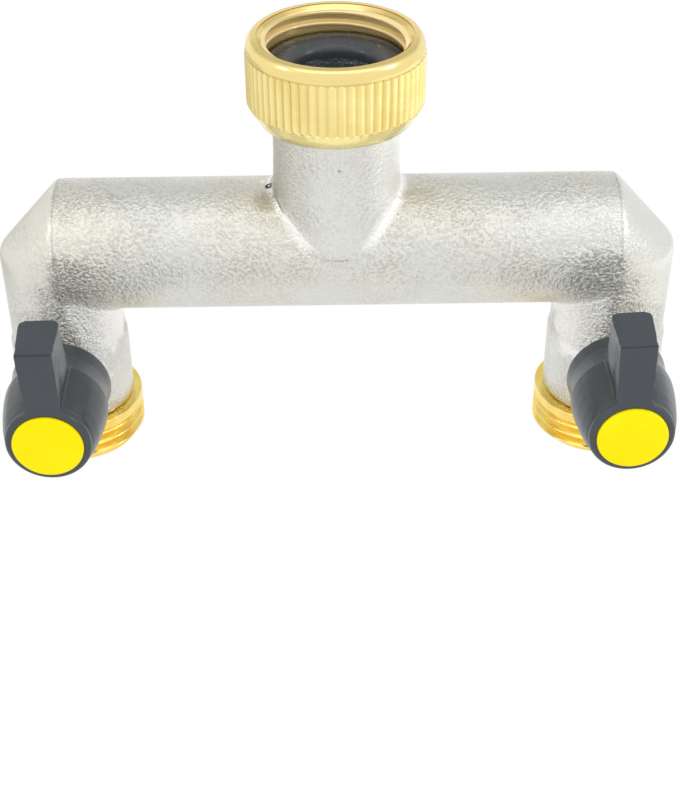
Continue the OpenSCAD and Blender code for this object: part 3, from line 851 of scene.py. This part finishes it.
nut = turned("nut", [
    (12.1, nut_bottom), (14.4, nut_bottom), (14.6, nut_bottom + 0.12), (15.75, -12.2),
    (16.5, knurl_bottom), (16.3, knurl_bottom + 0.12), (16.3, knurl_bottom + 0.4),
    (16.3, knurl_top - 0.4), (16.3, knurl_top - 0.12), (16.45, knurl_top), (16.48, knurl_top + 0.3),
    (16.4, 0.0), (16.2, 0.6), (15.95, 1.05), (15.65, 1.4), (15.3, nut_top),
    (female_root_r, nut_top), (female_root_r, -3.5), (13.7, -3.6), (13.7, -10.218), (12.1, -10.218),
], knurl_ribs * rib_steps)
for rib_step in range(rib_steps):
    rise = (0.5 - 0.5 * cos(tau * rib_step / rib_steps)) ** 0.5
    swell = 1 + rise * (knurl_r / knurl_groove_r - 1)
    pick_vertices(nut, lambda co: (
        round(atan2(co.y, co.x) / tau * knurl_ribs * rib_steps) % rib_steps == rib_step
        and sqrt(co.x ** 2 + co.y ** 2) > 16 * MM
        and knurl_bottom + 0.05 < co.z / MM < knurl_top - 0.05))
    bpy.ops.transform.resize(value=(swell, swell, 1), center_override=(0, 0, 0))
bpy.ops.object.mode_set(mode="OBJECT")

# the thread's last turn runs out into the mouth's bevel
nut_thread = helix_thread("nut_thread", female_root_r, female_crest_r, female_flat,
                          -2.47, 1.8, radians(-15), steps=160)
soften(nut_thread, 0.1 * MM)
cut(nut, nut_thread, "UNION")
cut(nut, turned("mouth_tool", [
    (0, 0.75), (13.44, 0.75), (14.2, 1.5), (14.24, 1.34), (14.42, 1.38), (14.5, 3), (0, 3)], 160))


def nut_brass():
    """The nut's brass: golden, with painted shade in the knurl's grooves and a painted shadow under the
    collar, painted paler inside, darker on the rim and pale on the skirt.
    """
    material, tree = new_material("nut_brass")
    place = add_node(tree, "TexCoord").outputs["Object"]
    x, y, height = add_node(tree, "SeparateXYZ", place).outputs
    from_axis = length_of(x, y)
    cloud = noise(place, 140, 3, 0.6)
    golden = blend_colours(between(cloud, 0.38, 0.62), (0.98, 0.83, 0.37), (0.93, 0.75, 0.30))
    painted_groove_shade = product(between(from_axis, knurl_r, knurl_groove_r),
                      between(height, knurl_bottom * MM, (knurl_bottom + 0.1) * MM),
                      between(height, knurl_top * MM, (knurl_top - 0.1) * MM, 0.0, 0.5))
    skirt = between(height, (knurl_bottom + 0.05) * MM, (knurl_bottom - 0.05) * MM)
    painted_collar_shadow = product(between(from_axis, 16 * MM, 16.1 * MM),
                           between(height, (knurl_top + 0.5) * MM, (knurl_top + 0.25) * MM),
                           between(height, (knurl_top - 0.2) * MM, knurl_top * MM, 0.0, 0.55))
    # inside, the brass is painted paler and made less metallic, to lift the shade there
    inside = between(from_axis, 13.8 * MM, 13.5 * MM, 0.0, 0.8)
    collar = product(between(from_axis, 15.2 * MM, 15.6 * MM),
                     between(height, (knurl_top + 0.4) * MM, (knurl_top + 0.6) * MM))
    rim = product(between(from_axis, 15.7 * MM, 15.4 * MM),
                  between(height, (nut_top - 0.75) * MM, (nut_top - 0.6) * MM, 0.0, 0.85))
    skin = layered(
        golden,
        (painted_groove_shade, (0.70, 0.50, 0.14)),
        (skirt, (1.0, 0.86, 0.39)),
        (painted_collar_shadow, (0.60, 0.42, 0.14)),
        (inside, (1.0, 0.79, 0.41)),
        (collar, (0.92, 0.74, 0.31)),
        (rim, (0.80, 0.61, 0.22)),
    )
    shaded = product(inside, between(height, 0.8 * MM, 0.6 * MM, 0.0, 0.85))
    brass_skin(place, skin, calculate("SUBTRACT", 1.0, shaded))
    return material


dress(nut, nut_brass(), 35)
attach(nut, "inlet_nut")
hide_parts("swivel_nut")

# ---- Inlet washer --------------------------------------------------------------------------
# A soft black rubber washer, moulded with a sloped edge round its hole, seals the hose's
# end against the neck.
washer_bottom, washer_top = washer_low.z / MM, washer_high.z / MM
washer = turned("washer", [
    (7.8, washer_bottom), (12.6, washer_bottom), (12.9, washer_bottom + 0.3),
    (12.9, washer_top - 0.4), (12.78, washer_top - 0.15), (12.5, washer_top - 0.05),
    (10.2, washer_top - 0.1), (9.6, washer_top - 0.16), (9.0, washer_top - 0.38),
    (8.4, washer_top - 0.8), (8.0, washer_top - 1.3), (7.8, washer_top - 1.9),
], 128)


def rubber(name, colour, roughness):
    """Moulded black rubber, faintly dusty."""
    material, tree = new_material(name)
    dust = noise(add_node(tree, "TexCoord").outputs["Object"], 900, 4, 0.65)
    grey = tuple(c + 0.03 for c in colour)
    surface(tree, IOR=1.5, Base_Color=blend_colours(between(dust, 0.55, 0.75), colour, grey),
            Roughness=between(dust, 0.3, 0.7, roughness, roughness + 0.12),
            Normal=raised(dust, 0.1, 0.03))
    return material


black_rubber = rubber("black_rubber", (0.050, 0.057, 0.066), 0.24)
dress(washer, black_rubber, 50)
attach(washer, "manifold")
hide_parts("inlet_washer")

# ---- Knobs ---------------------------------------------------------------------------------
# Each knob is moulded from charcoal nylon in one piece: a waisted barrel with a thumb fin on
# top. It is pushed onto the square of its stem.
knob_low, knob_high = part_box("right_knob")
knob_rear, knob_front = -knob_high.y / MM, -knob_low.y / MM
fin_half, fin_crease_half, fin_foot_half = 3.83, 3.5, 3.4
fin_rear, fin_crease, fin_foot = (24.6, 21.85), (32.6, 19.4), (34.2, 7.6)
fin_crease_out = 0.45    # each fin's crease lies a little to the outer side
fin_shoulder = (23.9, 12.05)
fin_lean = {LEFT: radians(1), RIGHT: radians(2.5)}    # neither stands quite upright in the photograph
cap_recess_r, cap_bed = 6.8, knob_front - 0.6
hollow_r, hollow_end = 8.0, 19.9
stem_square = 4.9 * MM


def pick_edges(piece, chosen):
    """In edit mode, selects the edges that a test of their two ends chooses."""
    take(piece)
    bpy.ops.object.mode_set(mode="EDIT")
    bpy.ops.mesh.select_mode(type="EDGE")
    bpy.ops.mesh.select_all(action="DESELECT")
    shape = bmesh.from_edit_mesh(piece.data)
    for edge in shape.edges:
        edge.select = chosen(edge.verts[0].co, edge.verts[1].co)
    bmesh.update_edit_mesh(piece.data)


def rough_knob(side):
    """The barrel and the fin run together, with the fin's sides scooped out for the thumb."""
    barrel = turned("barrel", [
        (0, knob_rear), (9.6, knob_rear), (9.8, knob_rear + 0.2), (9.68, 16.0), (9.56, 17.6),
        (9.66, 19.4), (9.88, 21.2), (10.05, 22.2), (9.95, 24.5), (9.6, 27.5), (9.1, 30.5),
        (8.5, 32.7), (8.14, 33.4), (8.22, 33.7), (8.16, 34.0), (7.95, 34.3), (7.6, knob_front),
        (0, knob_front),
    ], 160, closed=False)
    fin = outline("fin", [(0, up * MM, ahead * MM) for ahead, up in (
        (22.0, 5.0), (22.0, 9.75), fin_shoulder, fin_rear, fin_crease, fin_foot,
        (34.1, 5.0), (22.0, 5.0))])
    bpy.ops.mesh.edge_face_add()
    bpy.ops.transform.translate(value=(-fin_half * MM, 0, 0))
    bpy.ops.mesh.extrude_region_move(TRANSFORM_OT_translate={"value": (2 * fin_half * MM, 0, 0)})
    close_skin(fin)
    for corner, half, out in ((fin_crease, fin_crease_half, fin_crease_out),
                              (fin_foot, fin_foot_half, 0)):
        at_corner = Vector((0, corner[1], corner[0])) * MM
        pick_vertices(fin, lambda co: (co - at_corner).yz.length < 0.01 * MM)
        bpy.ops.transform.resize(value=(half / fin_half, 1, 1), center_override=(0, 0, 0))
        bpy.ops.transform.translate(value=(side * out * MM, 0, 0))
    pick_edges(fin, lambda a, b: abs(a.x - b.x) < MM and min(a.y, b.y) > 12 * MM
               and max(a.z, b.z) < 24.8 * MM)
    bpy.ops.mesh.bevel(offset=1.2 * MM, segments=5)
    bpy.ops.object.mode_set(mode="OBJECT")
    knob = joined("rough_knob", barrel, fin)
    finish_with(knob, "REMESH", mode="VOXEL", voxel_size=0.2 * MM)
    finish_with(knob, "SMOOTH", factor=0.5, iterations=3)

    # the scoop is deepest in its middle
    scoop_middle, scoop_half = Vector((0, 15.6, 28.6)) * MM, Vector((1, 4.6, 3.9)) * MM
    for share in (1.0, 0.85, 0.7, 0.55, 0.4):
        pick_vertices(knob, lambda co: abs(co.x) > 2 * MM and sqrt(
            ((co.y - scoop_middle.y) / scoop_half.y) ** 2
            + ((co.z - scoop_middle.z) / scoop_half.z) ** 2) < share)
        bpy.ops.transform.resize(value=(0.98, 1, 1), center_override=(0, 0, 0))
    pick_vertices(knob, lambda co: abs(co.x) > 2 * MM and co.y > 11.5 * MM
                  and 25.4 * MM < co.z < 31.8 * MM and co.y < 20 * MM)
    bpy.ops.mesh.vertices_smooth(factor=0.5, repeat=12)
    bpy.ops.object.mode_set(mode="OBJECT")

    # the mould leaves a fine line along the fin's crease
    ahead, up = fin_crease[0] - 0.1, fin_crease[1] - 0.08
    crease = [(x * MM, up * MM, ahead * MM) for x in (-5, 5)]
    cut(knob, rod("crease_tool", 0.16 * MM, *crease, sides=12))
    return knob


def finished_knob(side, name):
    """One knob: the rough form turned to its lean, hollowed, with the square hole and the key."""
    piece = moved(rough_knob(side), turn=(0, 0, fin_lean[side]))
    piece.name = piece.data.name = name
    cut(piece, turned("hollow_tool", [
        (0, 13), (hollow_r, 13), (hollow_r, hollow_end), (0, hollow_end)], 96))
    cut(piece, turned("cap_tool", [(0, 24.9), (5.95, 24.9), (5.95, cap_bed), (cap_recess_r, cap_bed),
                                   (cap_recess_r, 36), (0, 36)], 96))
    deselect()
    bpy.ops.mesh.primitive_cube_add(
        size=1, location=(0, 0, 22 * MM), scale=(stem_square, stem_square, 10 * MM))
    cut(piece, settle(bpy.context.object, "square_tool"))
    cut(piece, arc_block("key", (6.7, 8.3), (15.1, 20.2), radians(210), radians(30), 8), "UNION")
    return onto_stem(piece, side)


def moulded_plastic(name, colour, roughness, grain, shine=0.5):
    """Moulded plastic with a fine spark-eroded grain."""
    material, tree = new_material(name)
    place = add_node(tree, "TexCoord").outputs["Object"]
    cloud = noise(place, 120, 3, 0.6)
    paler = tuple(min(1, c * 1.05 + 0.002) for c in colour)
    surface(tree, IOR=1.5, Specular_IOR_Level=shine,
            Base_Color=blend_colours(between(cloud, 0.4, 0.62), colour, paler),
            Roughness=between(cloud, 0.3, 0.7, roughness, roughness + 0.04),
            Normal=raised(noise(place, grain, 3, 0.6), 0.25, 0.02))
    return material


charcoal = moulded_plastic("charcoal_nylon", (0.043, 0.051, 0.060), 0.24, 5200)
left_knob = finished_knob(LEFT, "left_knob")
right_knob = finished_knob(RIGHT, "right_knob")
for knob_piece, side_name in ((right_knob, "right"), (left_knob, "left")):
    dress(knob_piece, charcoal, 40)
    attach(knob_piece, side_name + "_rotor")
    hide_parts(side_name + "_knob")

# ---- Knob caps -----------------------------------------------------------------------------
# A yellow plastic cap snaps into the front of each knob and hides the stem's screw.
cap_low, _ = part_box("right_knob_cap")
cap_front = -cap_low.y / MM
cap = turned("right_cap", [
    (0, cap_bed), (4.9, cap_bed), (4.9, cap_bed - 4), (5.9, cap_bed - 4), (5.9, cap_bed),
    (6.72, cap_bed), (6.75, cap_bed + 0.1), (6.75, cap_front - 0.3), (6.62, cap_front - 0.12),
    (6.4, cap_front - 0.04), (6.0, cap_front), (0, cap_front),
], 160, closed=False)
cap_yellow = moulded_plastic("cap_yellow", (0.98, 0.80, 0.0), 0.5, 4200, shine=0.1)
left_cap = onto_stem(copied(cap, "left_cap"), LEFT)
onto_stem(cap, RIGHT)
for cap_piece, side_name in ((cap, "right"), (left_cap, "left")):
    dress(cap_piece, cap_yellow, 35)
    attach(cap_piece, side_name + "_rotor")
    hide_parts(side_name + "_knob_cap")

# ---- Turned and moulded inner pieces -------------------------------------------------------
# The balls are chromed brass, the seats and thrust washers PTFE, the O-rings rubber, the
# stems brass, and the screws, their washers and the nut's wire ring stainless steel. Each
# is right as it was drawn in CAD, so it only gets its finish.
def plain_finish(name, light, dark, smoothest, roughest, marks_scale, **settings):
    """A polished, drawn or moulded surface with faint marks."""
    material, tree = new_material(name)
    marks = noise(add_node(tree, "TexCoord").outputs["Object"], marks_scale, 3, 0.6)
    surface(tree, Base_Color=blend_colours(marks, light, dark),
            Roughness=between(marks, 0.3, 0.7, smoothest, roughest), **settings)
    return material


def finish_nodes(names, material):
    """Gives each of these CAD nodes the same finish."""
    for name in names:
        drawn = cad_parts[name].data
        drawn.materials.clear()
        drawn.materials.append(material)


def on_both_sides(*names):
    """The names of these nodes on the left and on the right."""
    return [side + name for side in ("left_", "right_") for name in names]


chrome = plain_finish("chrome_plate", (0.70, 0.71, 0.72), (0.62, 0.63, 0.65), 0.06, 0.12, 1500,
                      Metallic=1.0)
steel = plain_finish("stainless_steel", (0.56, 0.56, 0.57), (0.48, 0.48, 0.50), 0.18, 0.30, 1500,
                     Metallic=1.0)
ptfe = plain_finish("ptfe", (0.86, 0.86, 0.83), (0.93, 0.93, 0.90), 0.42, 0.55, 300, IOR=1.35)
stem_brass = bare_brass("stem_brass", (0.80, 0.60, 0.24), (0.72, 0.52, 0.19))
finish_nodes(on_both_sides("ball"), chrome)
finish_nodes(on_both_sides("upper_seat", "lower_seat", "stem_thrust_washer"), ptfe)
finish_nodes(on_both_sides("nipple_o_ring", "stem_o_rings"), black_rubber)
finish_nodes(on_both_sides("stem"), stem_brass)
finish_nodes(["nut_retaining_ring"] + on_both_sides("knob_screw", "knob_screw_washer"), steel)

# ---- Where everything shows ----------------------------------------------------------------
# Where each of the named points shows, in the photograph's pixels.
def corners_seen(piece, chosen=lambda co: True):
    """The pixels at which the vertices of a piece that a test chooses show."""
    return seen_at([tuple(v.co) for v in piece.data.vertices if chosen(v.co)])


seen = {}
outer_pieces = (casting, nut, left_knob, right_knob, left_nipple, nipple)
everything = np.vstack([corners_seen(piece) for piece in outer_pieces])
seen["left_edge"] = everything[everything[:, 0].argmin()]
seen["right_edge"] = everything[everything[:, 0].argmax()]
seen["top_edge"] = everything[everything[:, 1].argmin()]
seen["bottom_edge"] = everything[everything[:, 1].argmax()]
rim = corners_seen(nut, lambda co: co.z / MM > nut_top - 0.3)
seen["rim_left"], seen["rim_right"] = rim[rim[:, 0].argmin()], rim[rim[:, 0].argmax()]
seen["knurl_top"] = seen_at((0, -knurl_groove_r, knurl_top * MM))[0]
skirt = corners_seen(nut)
seen["nut_bottom"] = skirt[skirt[:, 1].argmax()]
for point, place in (
    ("neck_seam", seam_place), ("casting_pit", pit_place), ("scratch_start", scratch_from),
    ("scratch_end", scratch_to), ("gate_mark", gate_place), ("bare_nick", nick_place),
    ("stain_right", stain_place), ("neck_speck", speck_place),
):
    seen[point] = seen_at(on_skin(place))[0]
for cap_piece, knob_piece, side_name in ((left_cap, left_knob, "left"), (cap, right_knob, "right")):
    face = corners_seen(cap_piece, lambda co: co.y / MM < 0.1 - cap_front)
    seen[side_name + "_cap"] = (face.min(axis=0) + face.max(axis=0)) / 2
    fin_edge = corners_seen(knob_piece)
    top_row = fin_edge[fin_edge[:, 1] < fin_edge[:, 1].min() + 1]
    seen[side_name + "_fin_top"] = (top_row.min(axis=0) + top_row.max(axis=0)) / 2
